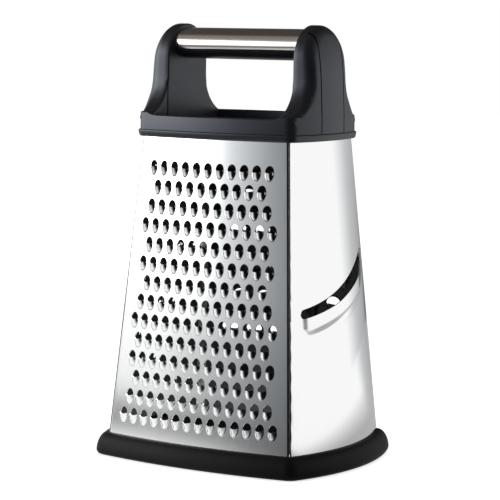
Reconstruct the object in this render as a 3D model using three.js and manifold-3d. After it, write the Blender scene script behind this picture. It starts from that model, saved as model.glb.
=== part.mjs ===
// Box grater: four punched steel panels in a tapered body, a moulded cap with a grip, a rubber foot.
// Millimetres, +Z up, floor at z = 0. The shredding panel faces -Y and the slicing panel faces +X.

import * as THREE from 'three';
import { mergeVertices } from 'three/addons/utils/BufferGeometryUtils.js';
import Module from 'manifold-3d';

const wasm = await Module();
wasm.setup();

// Body, measured on the outside of the steel
const footHeight = 12;
const steelHeight = 165; // steel seen between the foot and the cap
const baseHalfWidth = 58.7; // half chords and arc rises at the top of the foot
const baseHalfDepth = 48;
const baseFrontBulge = 5.7;
const baseSideBulge = 10.4;
const topHalfWidth = 47.1; // the same under the cap
const topHalfDepth = 33.4;
const topFrontBulge = 5.1;
const topSideBulge = 4;
const sheet = 0.6;
const gap = 0.3; // clearance between pieces that seat in or on each other
const steelIntoFoot = 6.5;
const returnDepth = 6; // edges of the front and back panels, folded in behind the sides
const returnClear = 1; // returns stop this far from the foot and from the clamp frame

// Shredding scoops of the front panel
const shredPitch = 7.45;
const shredRowPitch = 10.52;
const shredWidth = 5.8;
const shredHeight = 8.9;
const shredOpening = 4;
const shredLift = 2.2;
const shredBorder = 8.82; // panel edge to the centre of the outermost scoop, at least
const shredTop = 16.8; // cap to the centre of the first row
const shredBottom = 11; // foot to the centre of the last row, at least

// Coarse scoops of the back panel
const coarsePitch = 15.6;
const coarseRowPitch = 19.6;
const coarseWidth = 10.8;
const coarseHeight = 14.2;
const coarseOpening = 6.4;
const coarseLift = 3.6;
const coarseBorder = 12;
const coarseTop = 20;
const coarseBottom = 14;

// Burrs of the left panel
const burrPitch = 12.4;
const burrRowPitch = 16;
const burrWidth = 5; // across the raised base
const burrHole = 2.2; // across the torn rim
const burrLift = 1.4;
const burrBorder = 8;
const burrTop = 18;
const burrBottom = 12;

// Slicing slot of the right panel: its ends' distances from the panel's edges, and their heights
const slotFrontMargin = 7.3;
const slotFrontHeight = 88.2;
const slotBackMargin = 3.8;
const slotBackHeight = 112.8;
const slotSag = 5.2; // rise of the slot's arc, which hangs below its chord
const slotGap = 4;
const lipHeight = 10;
const lipLift = 3.2;
const lipCrown = 2.6; // lift half way down the lip
const lipCorner = 5;
const slotMargin = 4; // plain sheet left above and below the slot before the next crease line

// Rubber foot
const footReach = 6.2; // past the steel
const footLip = 1.4; // thickness at the top edge
const footRoll = 3; // radius under the outside
const footInnerWall = 3.6;
const footInnerHeight = 10;

// Cap
const flangeOverhang = 2.5;
const flangeHeight = 3.2;
const flangeEdge = 0.6;
const wallOverhang = 1.3;
const capSideBulge = 5.2;
const rimHeight = 10.6; // underside of the cap to the top of its rim
const rimChamfer = 1.2;
const rimThickness = 3;
const deckThickness = 2.4;

// Cheeks and their covers
const cheekSpan = 80; // between the inner faces
const cheekHalfWidth = 19.3;
const cheekHeight = 62; // underside of the cap to the top of the cheeks
const cheekEdge = 6; // round of the outer edges on the upright part
const cheekFootEdge = 2; // the same where the cheek flares into the cap
const cheekLean = 0.035; // inward slope of the outer face
const cheekProud = 0.3; // cheek face past the cap wall
const cheekLeastWall = 0.5; // left by the rounded outer edges
const flareRadius = 16;
const flareStep = 2.4; // rim to the foot of the flare
const gussetDepth = 1;
const coverWidth = 24;
const coverThickness = 2.5;
const coverLedge = 4; // cheek left whole beside the grip, at the end of the cover

// Grip
const gripDepth = 27;
const gripHeight = 17.2;
const gripDrop = 2.2; // cheek top to grip top
const gripSocket = 2.3;
const sleeveThickness = 0.8;
const sleeveSplit = 5.6; // bottom of the grip to the sleeve's lower edge

// Clamp frame and screws
const clampSkirt = 5.5; // below the cap
const clampSkirtWall = 2;
const clampPlate = 3;
const clampReach = 13; // steel to the inner edge of the plate
const clampScrewX = 44;
const clampScrewY = 15;
const clampScrewDiameter = 3.2;
const clampScrewHead = 6.4;
const clampScrewGrip = 15; // length in the cheek
const gripScrewDiameter = 4;
const gripScrewHead = 7.4;
const gripScrewGrip = 12; // length in the grip core
const screwHeadHeight = 2.4;
const screwHeadRound = 0.3; // share of the head's radius taken by its rounded edge

// Facets
const wallSteps = 8;
const cornerSteps = 3;
const scoopSteps = 3;
const coarseSteps = 3;
const burrSides = 3;
const slotSteps = 9;
const roundSteps = 2;
const archSteps = 5;
const screwSides = 6;
const ovalSteps = 10;
const weldReach = 1e-4; // points closer than this are one point
const levelBow = 1e-4; // lifts the points of a level edge off one straight line
const swapMargin = 1e-6; // least gain for which a shared edge is swapped

const capBottom = footHeight + steelHeight;
const steelBottom = footHeight - steelIntoFoot;
const flangeTop = capBottom + flangeHeight;
const steelTop = flangeTop - gap; // the steel ends inside the flange
const deckTop = flangeTop + deckThickness;
const rimTop = capBottom + rimHeight;
const cheekInner = cheekSpan / 2;
const cheekTop = capBottom + cheekHeight;
const archCentre = cheekTop - cheekHalfWidth;
const flareFoot = rimTop + flareStep;
const flareTop = flareFoot + flareRadius;
const cheekFoot = cheekHalfWidth + flareRadius;
const gripCentre = cheekTop - gripDrop - gripHeight / 2;
const clampBottom = capBottom - clampSkirt;

const mix = (from, to, t) => from + (to - from) * t;

// Closed geometry from points and index triples, with collapsed triangles left out
function geometryOf(points, faces) {
  const loose = new THREE.BufferGeometry();
  loose.setAttribute('position', new THREE.Float32BufferAttribute(points.flatMap((p) => p.toArray()), 3));
  loose.setIndex(faces.flat());
  return welded(loose);
}

function welded(geometry) {
  const bare = geometry.clone();
  bare.deleteAttribute('normal');
  bare.deleteAttribute('uv');
  const merged = mergeVertices(bare, weldReach);
  const index = merged.getIndex().array;
  const kept = [];
  for (let i = 0; i < index.length; i += 3) {
    const [a, b, c] = [index[i], index[i + 1], index[i + 2]];
    if (a !== b && b !== c && c !== a) kept.push(a, b, c);
  }
  merged.setIndex(kept);
  return merged;
}

function toSolid(geometry) {
  const closed = welded(geometry);
  return new wasm.Manifold(new wasm.Mesh({
    numProp: 3,
    vertProperties: new Float32Array(closed.getAttribute('position').array),
    triVerts: new Uint32Array(closed.getIndex().array),
  }));
}

function toGeometry(solid) {
  const { vertProperties, triVerts } = solid.getMesh();
  const geometry = new THREE.BufferGeometry();
  geometry.setAttribute('position', new THREE.BufferAttribute(vertProperties, 3));
  geometry.setIndex(new THREE.BufferAttribute(triVerts, 1));
  return geometry;
}

// Skin over loops of equal length. A ring joins the last loop to the first; otherwise both ends are capped.
function skin(loops, ring = false) {
  const count = loops[0].length;
  const faces = [];
  const bands = ring ? loops.length : loops.length - 1;
  for (let k = 0; k < bands; k++) {
    const low = k * count;
    const high = ((k + 1) % loops.length) * count;
    for (let i = 0; i < count; i++) {
      const j = (i + 1) % count;
      faces.push([low + i, low + j, high + j], [low + i, high + j, high + i]);
    }
  }
  if (!ring) {
    const flat = (loop) => loop.map((p) => new THREE.Vector2(p.x, p.y));
    const top = (loops.length - 1) * count;
    for (const [a, b, c] of THREE.ShapeUtils.triangulateShape(flat(loops[0]), [])) faces.push([c, b, a]);
    for (const face of THREE.ShapeUtils.triangulateShape(flat(loops.at(-1)), [])) {
      faces.push(face.map((i) => i + top));
    }
  }
  return geometryOf(loops.flat(), faces);
}

// Plan of the body: four shallow arcs over a rectangle of chords
function bodyPlan(z) {
  const t = (z - footHeight) / steelHeight;
  return {
    halfWidth: mix(baseHalfWidth, topHalfWidth, t),
    halfDepth: mix(baseHalfDepth, topHalfDepth, t),
    frontBulge: mix(baseFrontBulge, topFrontBulge, t),
    sideBulge: mix(baseSideBulge, topSideBulge, t),
  };
}

const capPlan = { ...bodyPlan(capBottom), sideBulge: capSideBulge };

// The four arcs, front, right, back and left, each with its heading, radius and half angle
function wallsOf(plan) {
  const arc = (halfChord, rise, distance) => ({
    radius: (halfChord ** 2 + rise ** 2) / (2 * rise),
    halfAngle: 2 * Math.atan(rise / halfChord),
    reach: distance + rise,
  });
  const front = arc(plan.halfWidth, plan.frontBulge, plan.halfDepth);
  const side = arc(plan.halfDepth, plan.sideBulge, plan.halfWidth);
  return [front, side, front, side].map((wall, i) => {
    const heading = (i - 1) * Math.PI / 2;
    const inset = wall.reach - wall.radius;
    const centre = new THREE.Vector2(Math.cos(heading), Math.sin(heading)).multiplyScalar(inset);
    return { ...wall, heading, centre };
  });
}

function onWall(wall, angle, offset, z) {
  const radius = wall.radius + offset;
  const turn = wall.heading + angle;
  const x = wall.centre.x + radius * Math.cos(turn);
  const y = wall.centre.y + radius * Math.sin(turn);
  return new THREE.Vector3(x, y, z);
}

function angleOn(wall, point) {
  const turn = Math.atan2(point.y - wall.centre.y, point.x - wall.centre.x) - wall.heading;
  return Math.atan2(Math.sin(turn), Math.cos(turn));
}

// Corner where a wall's offset arc meets the next wall's offset arc
function cornerOf(wall, next, offset, nextOffset, z) {
  const near = wall.radius + offset;
  const far = next.radius + nextOffset;
  const along = next.centre.clone().sub(wall.centre);
  const span = along.length();
  along.normalize();
  const foot = (span ** 2 + near ** 2 - far ** 2) / (2 * span);
  const rise = Math.sqrt(near ** 2 - foot ** 2);
  const x = wall.centre.x + along.x * foot - along.y * rise;
  const y = wall.centre.y + along.y * foot + along.x * rise;
  return new THREE.Vector3(x, y, z);
}

// Closed loop round a plan: outward offsets round the corners, inward ones keep them sharp
function outline(plan, offset, z) {
  const walls = wallsOf(plan);
  const loop = [];
  walls.forEach((wall, i) => {
    const next = walls[(i + 1) % 4];
    const corner = cornerOf(wall, next, offset, offset, z);
    const end = offset < 0 ? angleOn(wall, corner) : wall.halfAngle;
    for (let k = 0; k <= wallSteps; k++) loop.push(onWall(wall, mix(-end, end, k / wallSteps), offset, z));
    const tip = onWall(wall, wall.halfAngle, 0, z);
    const from = wall.heading + wall.halfAngle;
    const to = wall.heading + Math.PI / 2 - next.halfAngle;
    for (let k = 1; k < cornerSteps; k++) {
      const turn = mix(from, to, k / cornerSteps);
      const fan = new THREE.Vector3(Math.cos(turn), Math.sin(turn), 0).multiplyScalar(offset).add(tip);
      loop.push(offset < 0 ? corner : fan);
    }
  });
  return loop;
}

// Sheet blank: each point gives its place for any height off the outer face of the sheet
function makeBlank() {
  return { places: [], faces: [], known: new Map() };
}

function blankPoint(blank, kind, values, place) {
  const key = [kind, ...values.map((value) => Math.round(value / weldReach))].join(' ');
  if (!blank.known.has(key)) {
    blank.known.set(key, blank.places.length);
    blank.places.push(place);
  }
  return blank.known.get(key);
}

// The blank given its thickness, with a wall along every free edge
function thickened(blank) {
  const count = blank.places.length;
  const points = [...blank.places.map((place) => place(0)), ...blank.places.map((place) => place(-sheet))];
  const faces = [];
  const edges = new Set();
  for (const [a, b, c] of blank.faces) {
    faces.push([a, b, c], [a + count, c + count, b + count]);
    for (const [i, j] of [[a, b], [b, c], [c, a]]) edges.add(`${i} ${j}`);
  }
  for (const edge of edges) {
    const [i, j] = edge.split(' ').map(Number);
    if (!edges.has(`${j} ${i}`)) faces.push([j, i, i + count], [j, i + count, j + count]);
  }
  return geometryOf(points, faces);
}

// Whether d lies inside the circle through a, b and c, which turn anticlockwise
function inCircle(a, b, c, d) {
  const [p, q, r] = [a, b, c].map((v) => v.clone().sub(d));
  const turn = p.lengthSq() * q.cross(r) + q.lengthSq() * r.cross(p) + r.lengthSq() * p.cross(q);
  return turn > swapMargin;
}

// Swaps shared edges until the triangles are compact, so that they follow the curve of the sheet
function compact(faces, points) {
  let swapped = true;
  while (swapped) {
    swapped = false;
    const owners = new Map();
    faces.forEach((face, f) => face.forEach((a, i) => {
      owners.set(`${a} ${face[(i + 1) % 3]}`, [f, a, face[(i + 1) % 3], face[(i + 2) % 3]]);
    }));
    const touched = new Set();
    for (const [f, a, b, c] of owners.values()) {
      const [g, , , d] = owners.get(`${b} ${a}`) ?? [];
      if (g === undefined || touched.has(f) || touched.has(g)) continue;
      if (!inCircle(points[a], points[b], points[c], points[d])) continue;
      faces[f] = [a, d, c];
      faces[g] = [d, b, c];
      touched.add(f).add(g);
      swapped = true;
    }
  }
  return faces;
}

// Fills a contour round its holes
function addTriangles(blank, contour, holes) {
  const all = [contour, ...holes].flat();
  const flat = (ring) => ring.map((p) => new THREE.Vector2(p.u, p.z + levelBow * p.u ** 2));
  const points = flat(all);
  const faces = THREE.ShapeUtils.triangulateShape(flat(contour), holes.map(flat)).map(([a, b, c]) => {
    const turn = points[b].clone().sub(points[a]).cross(points[c].clone().sub(points[a]));
    return turn > 0 ? [a, b, c] : [a, c, b];
  });
  for (const face of compact(faces, points)) blank.faces.push(face.map((i) => all[i].id));
}

function addQuad(blank, a, b, c, d) {
  for (const face of [[a, b, c], [a, c, d]]) {
    if (new Set(face).size === 3) blank.faces.push(face);
  }
}

// A panel of the body: wall 0 is the front, wall 1 the right. A folded panel ends at the returns.
function makePanel(wallIndex, folded) {
  const blank = makeBlank();
  const wallAt = (z) => wallsOf(bodyPlan(z))[wallIndex];
  const lap = sheet + gap;
  const fold = (z, w) => {
    const walls = wallsOf(bodyPlan(z));
    return cornerOf(walls[0], walls[1], w, w - lap, z);
  };
  const mirrored = (p) => new THREE.Vector3(-p.x, p.y, p.z);
  const halfArc = (z) => {
    const wall = wallAt(z);
    return wall.radius * (folded ? angleOn(wall, fold(z, 0)) : wall.halfAngle);
  };
  const point = (u, z, lift) => {
    const wall = wallAt(z);
    const place = (w) => onWall(wall, u / wall.radius, w + lift, z);
    return { u, z, id: blankPoint(blank, 'face', [u, z, lift], place) };
  };
  const edge = (side, z) => {
    const place = (w) => (side > 0 ? fold(z, w) : mirrored(fold(z, w)));
    return { u: side * halfArc(z), z, id: blankPoint(blank, 'fold', [side, z], place) };
  };
  const returned = (side, z) => {
    const place = (w) => {
      const wall = wallsOf(bodyPlan(z))[1];
      const end = onWall(wall, returnDepth / wall.radius - wall.halfAngle, w - lap, z);
      return side > 0 ? end : mirrored(end);
    };
    return blankPoint(blank, 'return', [side, z], place);
  };
  const station = (k, z) => {
    if (folded && k % wallSteps === 0) return edge(k === 0 ? -1 : 1, z);
    return point(mix(-1, 1, k / wallSteps) * halfArc(z), z, 0);
  };
  const stations = (z) => Array.from({ length: wallSteps + 1 }, (_, k) => station(k, z));
  return { blank, point, halfArc, stations, edge, returned };
}

// One level strip of a panel, plain or with holes
function addStrip(panel, low, high, holes = []) {
  const bottom = panel.stations(low);
  const top = panel.stations(high);
  if (holes.length > 0) {
    addTriangles(panel.blank, [...bottom, ...top.toReversed()], holes);
    return;
  }
  for (let k = 0; k < wallSteps; k++) {
    addQuad(panel.blank, bottom[k].id, bottom[k + 1].id, top[k + 1].id, top[k].id);
  }
}

function addReturns(panel, low, high) {
  for (const side of [-1, 1]) {
    const fold = [panel.edge(side, low).id, panel.edge(side, high).id];
    const free = [panel.returned(side, low), panel.returned(side, high)];
    if (side > 0) addQuad(panel.blank, fold[0], free[0], free[1], fold[1]);
    else addQuad(panel.blank, free[0], fold[0], fold[1], free[1]);
  }
}

// Pressed scoop: the sheet is slit across, and the part below the slit is pushed out as a half dome
function addScoop(panel, u, z, form) {
  const slit = z + form.height / 2 - form.opening;
  const upper = [];
  const lower = [];
  const cutting = [];
  for (let k = 0; k <= form.steps; k++) {
    const turn = Math.PI * k / form.steps;
    const across = u - form.width / 2 * Math.cos(turn);
    const swell = k % form.steps === 0 ? 0 : Math.sin(turn);
    upper.push(panel.point(across, slit + form.opening * swell, 0));
    lower.push(panel.point(across, slit - (form.height - form.opening) * swell, 0));
    cutting.push(panel.point(across, slit, form.lift * swell));
  }
  for (let k = 0; k < form.steps; k++) {
    addQuad(panel.blank, lower[k].id, lower[k + 1].id, cutting[k + 1].id, cutting[k].id);
  }
  return [...lower, ...upper.toReversed().slice(1, -1)];
}

// Burr: a small hole torn outwards into a raised rim
function addBurr(panel, u, z, form) {
  const ring = (across, lift) => Array.from({ length: burrSides }, (_, k) => {
    const turn = 2 * Math.PI * k / burrSides;
    return panel.point(u + across / 2 * Math.cos(turn), z + across / 2 * Math.sin(turn), lift);
  });
  const base = ring(form.width, 0);
  const rim = ring(form.hole, form.lift);
  base.forEach((p, k) => {
    const j = (k + 1) % burrSides;
    addQuad(panel.blank, p.id, base[j].id, rim[j].id, rim[k].id);
  });
  return base;
}

// Slicing slot: an arched slit with the sheet below it pushed out as a long lip
function addSlot(panel) {
  const start = new THREE.Vector2(slotFrontMargin - panel.halfArc(slotFrontHeight), slotFrontHeight);
  const end = new THREE.Vector2(panel.halfArc(slotBackHeight) - slotBackMargin, slotBackHeight);
  const chord = end.clone().sub(start);
  const middle = start.clone().addScaledVector(chord, 0.5);
  const half = chord.length() / 2;
  const radius = (half ** 2 + slotSag ** 2) / (2 * slotSag);
  const sweep = 2 * Math.atan(slotSag / half);
  const along = chord.clone().normalize();
  const up = new THREE.Vector2(-along.y, along.x);
  const lift = radius - slotSag;
  const at = (turn, depth, height) => {
    const r = radius + depth;
    const p = middle.clone().addScaledVector(along, r * Math.sin(turn));
    p.addScaledVector(up, lift - r * Math.cos(turn));
    return panel.point(p.x, p.y, height);
  };
  const corner = lipCorner / radius;
  const turns = Array.from({ length: slotSteps + 1 }, (_, k) => {
    if (k === 0 || k === slotSteps) return k === 0 ? -sweep : sweep;
    return mix(corner - sweep, sweep - corner, (k - 1) / (slotSteps - 2));
  });
  const inner = (k) => k > 0 && k < slotSteps;
  const bite = 1 - Math.SQRT1_2;
  const upper = turns.map((turn) => at(turn, 0, 0));
  const cutting = turns.map((turn, k) => at(turn, slotGap, inner(k) ? lipLift : 0));
  const crown = turns.map((turn, k) => at(turn, slotGap + lipHeight / 2, inner(k) ? lipCrown : 0));
  const lower = turns.map((turn, k) => {
    if (inner(k)) return at(turn, slotGap + lipHeight, 0);
    return at(turn - Math.sign(turn) * corner * bite, slotGap + lipHeight - lipCorner * bite, 0);
  });
  for (let k = 0; k < slotSteps; k++) {
    addQuad(panel.blank, crown[k].id, crown[k + 1].id, cutting[k + 1].id, cutting[k].id);
    addQuad(panel.blank, lower[k].id, lower[k + 1].id, crown[k + 1].id, crown[k].id);
  }
  const backSide = [crown.at(-1), cutting.at(-1)];
  const frontSide = [cutting[0], crown[0]];
  return [...lower, ...backSide, ...upper.toReversed(), ...frontSide];
}

// Staggered rows between the cap and the foot, as many as fit, each as wide as the panel allows
function addRows(panel, form, addHole) {
  const first = capBottom - form.top;
  const rows = Math.floor((first - footHeight - form.bottom) / form.rowPitch) + 1;
  for (let row = 0; row < rows; row++) {
    const z = first - row * form.rowPitch;
    const columns = (panel.halfArc(z) - form.border) / form.pitch;
    const count = row % 2 === 0 ? 2 * Math.floor(columns) + 1 : 2 * Math.floor(columns + 0.5);
    const holes = [];
    for (let i = 0; i < count; i++) holes.push(addHole(panel, (i - (count - 1) / 2) * form.pitch, z, form));
    addStrip(panel, z - form.rowPitch / 2, z + form.rowPitch / 2, holes);
  }
  return [first - (rows - 0.5) * form.rowPitch, first + form.rowPitch / 2];
}

// Front or back panel: scoops between plain margins, and returns folded in at both edges
function scoopPanel(form) {
  const panel = makePanel(0, true);
  const [low, high] = addRows(panel, form, addScoop);
  const returnLow = footHeight + returnClear;
  const returnHigh = clampBottom - returnClear;
  const rows = Math.round((high - low) / form.rowPitch);
  const rowEdges = Array.from({ length: rows + 1 }, (_, k) => high - (rows - k) * form.rowPitch);
  for (const [from, to] of [[steelBottom, returnLow], [returnLow, rowEdges[0]]]) addStrip(panel, from, to);
  for (const [from, to] of [[rowEdges[rows], returnHigh], [returnHigh, steelTop]]) addStrip(panel, from, to);
  const folds = [returnLow, ...rowEdges, returnHigh];
  for (let k = 0; k + 1 < folds.length; k++) addReturns(panel, folds[k], folds[k + 1]);
  return thickened(panel.blank);
}

function burrPanel(form) {
  const panel = makePanel(1, false);
  const [low, high] = addRows(panel, form, addBurr);
  addStrip(panel, steelBottom, low);
  addStrip(panel, high, steelTop);
  return thickened(panel.blank);
}

function slicingPanel() {
  const panel = makePanel(1, false);
  const hole = addSlot(panel);
  const heights = hole.map((p) => p.z);
  const low = Math.min(...heights) - slotMargin;
  const high = Math.max(...heights) + slotMargin;
  addStrip(panel, steelBottom, low);
  addStrip(panel, low, high, [hole]);
  addStrip(panel, high, steelTop);
  return thickened(panel.blank);
}

const shredForm = {
  pitch: shredPitch, rowPitch: shredRowPitch, width: shredWidth, height: shredHeight,
  opening: shredOpening, lift: shredLift, border: shredBorder, top: shredTop, bottom: shredBottom,
  steps: scoopSteps,
};
const coarseForm = {
  pitch: coarsePitch, rowPitch: coarseRowPitch, width: coarseWidth, height: coarseHeight,
  opening: coarseOpening, lift: coarseLift, border: coarseBorder, top: coarseTop, bottom: coarseBottom,
  steps: coarseSteps,
};
const burrForm = {
  pitch: burrPitch, rowPitch: burrRowPitch, width: burrWidth, hole: burrHole, lift: burrLift,
  border: burrBorder, top: burrTop, bottom: burrBottom,
};

// Foot: a rubber channel that holds the lower edge of the steel, swept round the body
function footRing() {
  const section = [];
  const quarter = (steps, add) => {
    for (let k = 0; k <= steps; k++) add(k / steps * Math.PI / 2);
  };
  quarter(roundSteps, (t) => {
    section.push([footReach - footRoll + footRoll * Math.sin(t), footRoll * (1 - Math.cos(t))]);
  });
  quarter(roundSteps, (t) => {
    if (t > 0) section.push([mix(footLip, footReach, Math.cos(t)), mix(footRoll, footHeight, Math.sin(t))]);
  });
  section.push([gap, footHeight], [gap, steelBottom - gap]);
  section.push([-sheet - gap, steelBottom - gap], [-sheet - gap, footInnerHeight]);
  section.push([-footInnerWall, footInnerHeight], [-footInnerWall, 0]);
  return skin(section.map(([offset, z]) => outline(bodyPlan(z), offset, z)), true);
}

// Clamp frame: a skirt inside the steel and a plate under the cap, drilled for its four screws
function clampFrame() {
  const outer = -sheet - gap;
  const section = [
    [outer, clampBottom],
    [outer, steelTop],
    [-clampReach, steelTop],
    [-clampReach, steelTop - clampPlate],
    [outer - clampSkirtWall, steelTop - clampPlate],
    [outer - clampSkirtWall, clampBottom],
  ];
  let solid = toSolid(skin(section.map(([offset, z]) => outline(bodyPlan(z), offset, z)), true));
  for (const place of clampPlaces) {
    const [low, high] = [steelTop - 2 * clampPlate, steelTop + clampPlate];
    const bore = upright(clampScrewDiameter / 2 + gap, low, high, place);
    solid = solid.subtract(toSolid(bore));
  }
  return toGeometry(solid);
}

const clampPlaces = [[-1, -1], [1, -1], [1, 1], [-1, 1]].map(([x, y]) => [x * clampScrewX, y * clampScrewY]);

function upright(radius, low, high, [x, y]) {
  const rod = new THREE.CylinderGeometry(radius, radius, high - low, screwSides);
  return rod.rotateX(Math.PI / 2).translate(x, y, (low + high) / 2);
}

function crosswise(radius, from, to, z) {
  const rod = new THREE.CylinderGeometry(radius, radius, to - from, screwSides);
  return rod.rotateZ(-Math.PI / 2).translate((from + to) / 2, 0, z);
}

// Screw along +Y from the underside of its head, which lies below zero
function screw(diameter, headDiameter, length) {
  const [shank, head] = [diameter / 2, headDiameter / 2];
  const profile = [
    [0, -screwHeadHeight], [head * (1 - screwHeadRound), -screwHeadHeight], [head, -screwHeadHeight / 2],
    [head, 0], [shank, 0], [shank, length - shank], [0, length],
  ];
  return new THREE.LatheGeometry(profile.map(([x, y]) => new THREE.Vector2(x, y)), screwSides);
}

// Outer face of the right cheek, on the bulged side of the cap and leaning in as it rises
function cheekFace(y, z) {
  const overhang = wallOverhang + cheekProud;
  const wall = wallsOf(capPlan)[1];
  const x = wall.centre.x + Math.sqrt((wall.radius + overhang) ** 2 - y ** 2);
  return x - cheekLean * (z - capBottom);
}

// Half width of a cheek at a height, and how far a point lies inside that outline
function cheekOutline(z, inset) {
  if (z > archCentre) {
    const radius = cheekHalfWidth - inset;
    const rise = Math.min(z - archCentre, radius);
    return {
      halfWidth: Math.sqrt(radius ** 2 - rise ** 2),
      depth: (y) => radius - Math.hypot(y, rise),
    };
  }
  const drop = Math.min(Math.max(flareTop - z, 0), flareRadius);
  const halfWidth = cheekFoot - Math.sqrt(flareRadius ** 2 - drop ** 2) - inset;
  const flared = (y) => Math.hypot(cheekFoot - Math.abs(y), drop) - flareRadius - inset;
  return { halfWidth, depth: drop < flareRadius ? flared : (y) => halfWidth - Math.abs(y) };
}

function cheekSection(z, inset) {
  const { halfWidth, depth } = cheekOutline(z, inset);
  const rise = Math.min(Math.max((z - flareFoot) / flareRadius, 0), 1);
  const edge = mix(cheekFootEdge, cheekEdge, rise);
  const reach = Math.min(edge, halfWidth);
  const ys = [0];
  for (let k = roundSteps; k >= 0; k--) {
    const y = halfWidth - reach * (1 - Math.cos(k / roundSteps * Math.PI / 2));
    ys.push(y);
    ys.unshift(-y);
  }
  const leastFace = cheekInner + gussetDepth + cheekLeastWall;
  const outer = ys.map((y) => {
    const inside = Math.min(Math.max(depth(y), 0), edge);
    const round = edge - Math.sqrt(edge ** 2 - (edge - inside) ** 2);
    return new THREE.Vector3(Math.max(cheekFace(y, z) - inset - round, leastFace), y, z);
  });
  const neck = Math.min(cheekHalfWidth, halfWidth);
  const recess = halfWidth > cheekHalfWidth + gap ? gussetDepth : 0;
  const inner = [
    [recess, halfWidth], [recess, neck], [0, neck], [0, -neck], [recess, -neck], [recess, -halfWidth],
  ];
  return [...outer, ...inner.map(([x, y]) => new THREE.Vector3(cheekInner + x, y, z))];
}

// Right cheek as horizontal sections; an inset one lies that far under its outer face and its top
function cheek(inset) {
  const levels = [capBottom + flangeHeight / 2];
  for (let k = roundSteps + 1; k >= 0; k--) {
    levels.push(flareTop - flareRadius * Math.sin(k / (roundSteps + 1) * Math.PI / 2));
  }
  for (let k = 0; k <= archSteps; k++) {
    levels.push(archCentre + (cheekHalfWidth - inset) * Math.sin(k / archSteps * Math.PI / 2));
  }
  return skin(levels.map((z) => cheekSection(z, inset)));
}

function block(x, y, z) {
  const size = [x, y, z].map(([from, to]) => to - from);
  const centre = [x, y, z].map(([from, to]) => (from + to) / 2);
  return toSolid(new THREE.BoxGeometry(...size).translate(...centre));
}

// Band of the right cheek that the cover fills, from the flange up and over the top
function coverBand(halfWidth, low, ledge) {
  const high = cheekTop + coverThickness;
  return block([cheekInner + ledge, cheekInner * 2], [-halfWidth, halfWidth], [low, high]);
}

function cheekCover() {
  const band = coverBand(coverWidth / 2 - gap / 2, flangeTop + gap, coverLedge + gap);
  return toGeometry(toSolid(cheek(0)).intersect(band).subtract(toSolid(cheek(coverThickness))));
}

// Oval section of the grip in the YZ plane, and solids along X from it
function ovalShape(inset, from, to, clockwise, shape = new THREE.Shape()) {
  shape.absellipse(0, 0, gripDepth / 2 - inset, gripHeight / 2 - inset, from, to, clockwise);
  return shape;
}

function alongGrip(shape, halfLength) {
  const options = { depth: 2 * halfLength, bevelEnabled: false, curveSegments: ovalSteps };
  const bar = new THREE.ExtrudeGeometry(shape, options);
  const frame = new THREE.Matrix4().makeBasis(
    new THREE.Vector3(0, 1, 0), new THREE.Vector3(0, 0, 1), new THREE.Vector3(1, 0, 0),
  );
  return bar.applyMatrix4(frame).translate(-halfLength, 0, gripCentre);
}

const gripHalf = cheekInner + gripSocket - gap;
const splitLevel = sleeveSplit - gripHeight / 2; // above the centre of the oval
const angleAt = (inset, level) => Math.asin(level / (gripHeight / 2 - inset));

function gripSleeve() {
  const outer = angleAt(0, splitLevel);
  const inner = angleAt(sleeveThickness, splitLevel);
  const shape = ovalShape(0, outer, Math.PI - outer, false);
  ovalShape(sleeveThickness, Math.PI - inner, inner, true, shape);
  return alongGrip(shape, gripHalf);
}

function gripCore() {
  const inset = sleeveThickness + gap;
  const level = splitLevel - gap;
  const outer = angleAt(0, level);
  const inner = angleAt(inset, level);
  const shape = ovalShape(0, Math.PI - outer, outer + 2 * Math.PI, false);
  ovalShape(inset, inner, Math.PI - inner, false, shape);
  let solid = toSolid(alongGrip(shape, gripHalf));
  for (const side of [-1, 1]) {
    const ends = [side * (gripHalf - gripScrewGrip - gap), side * cheekInner * 2].sort((a, b) => a - b);
    solid = solid.subtract(toSolid(crosswise(gripScrewDiameter / 2 + gap, ...ends, gripCentre)));
  }
  return toGeometry(solid);
}

// Seat of the grip screw's head, under the cover
const coverSeat = cheekFace(0, gripCentre) - coverThickness - gap;
const headSeat = coverSeat - screwHeadHeight - 2 * gap;

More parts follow.
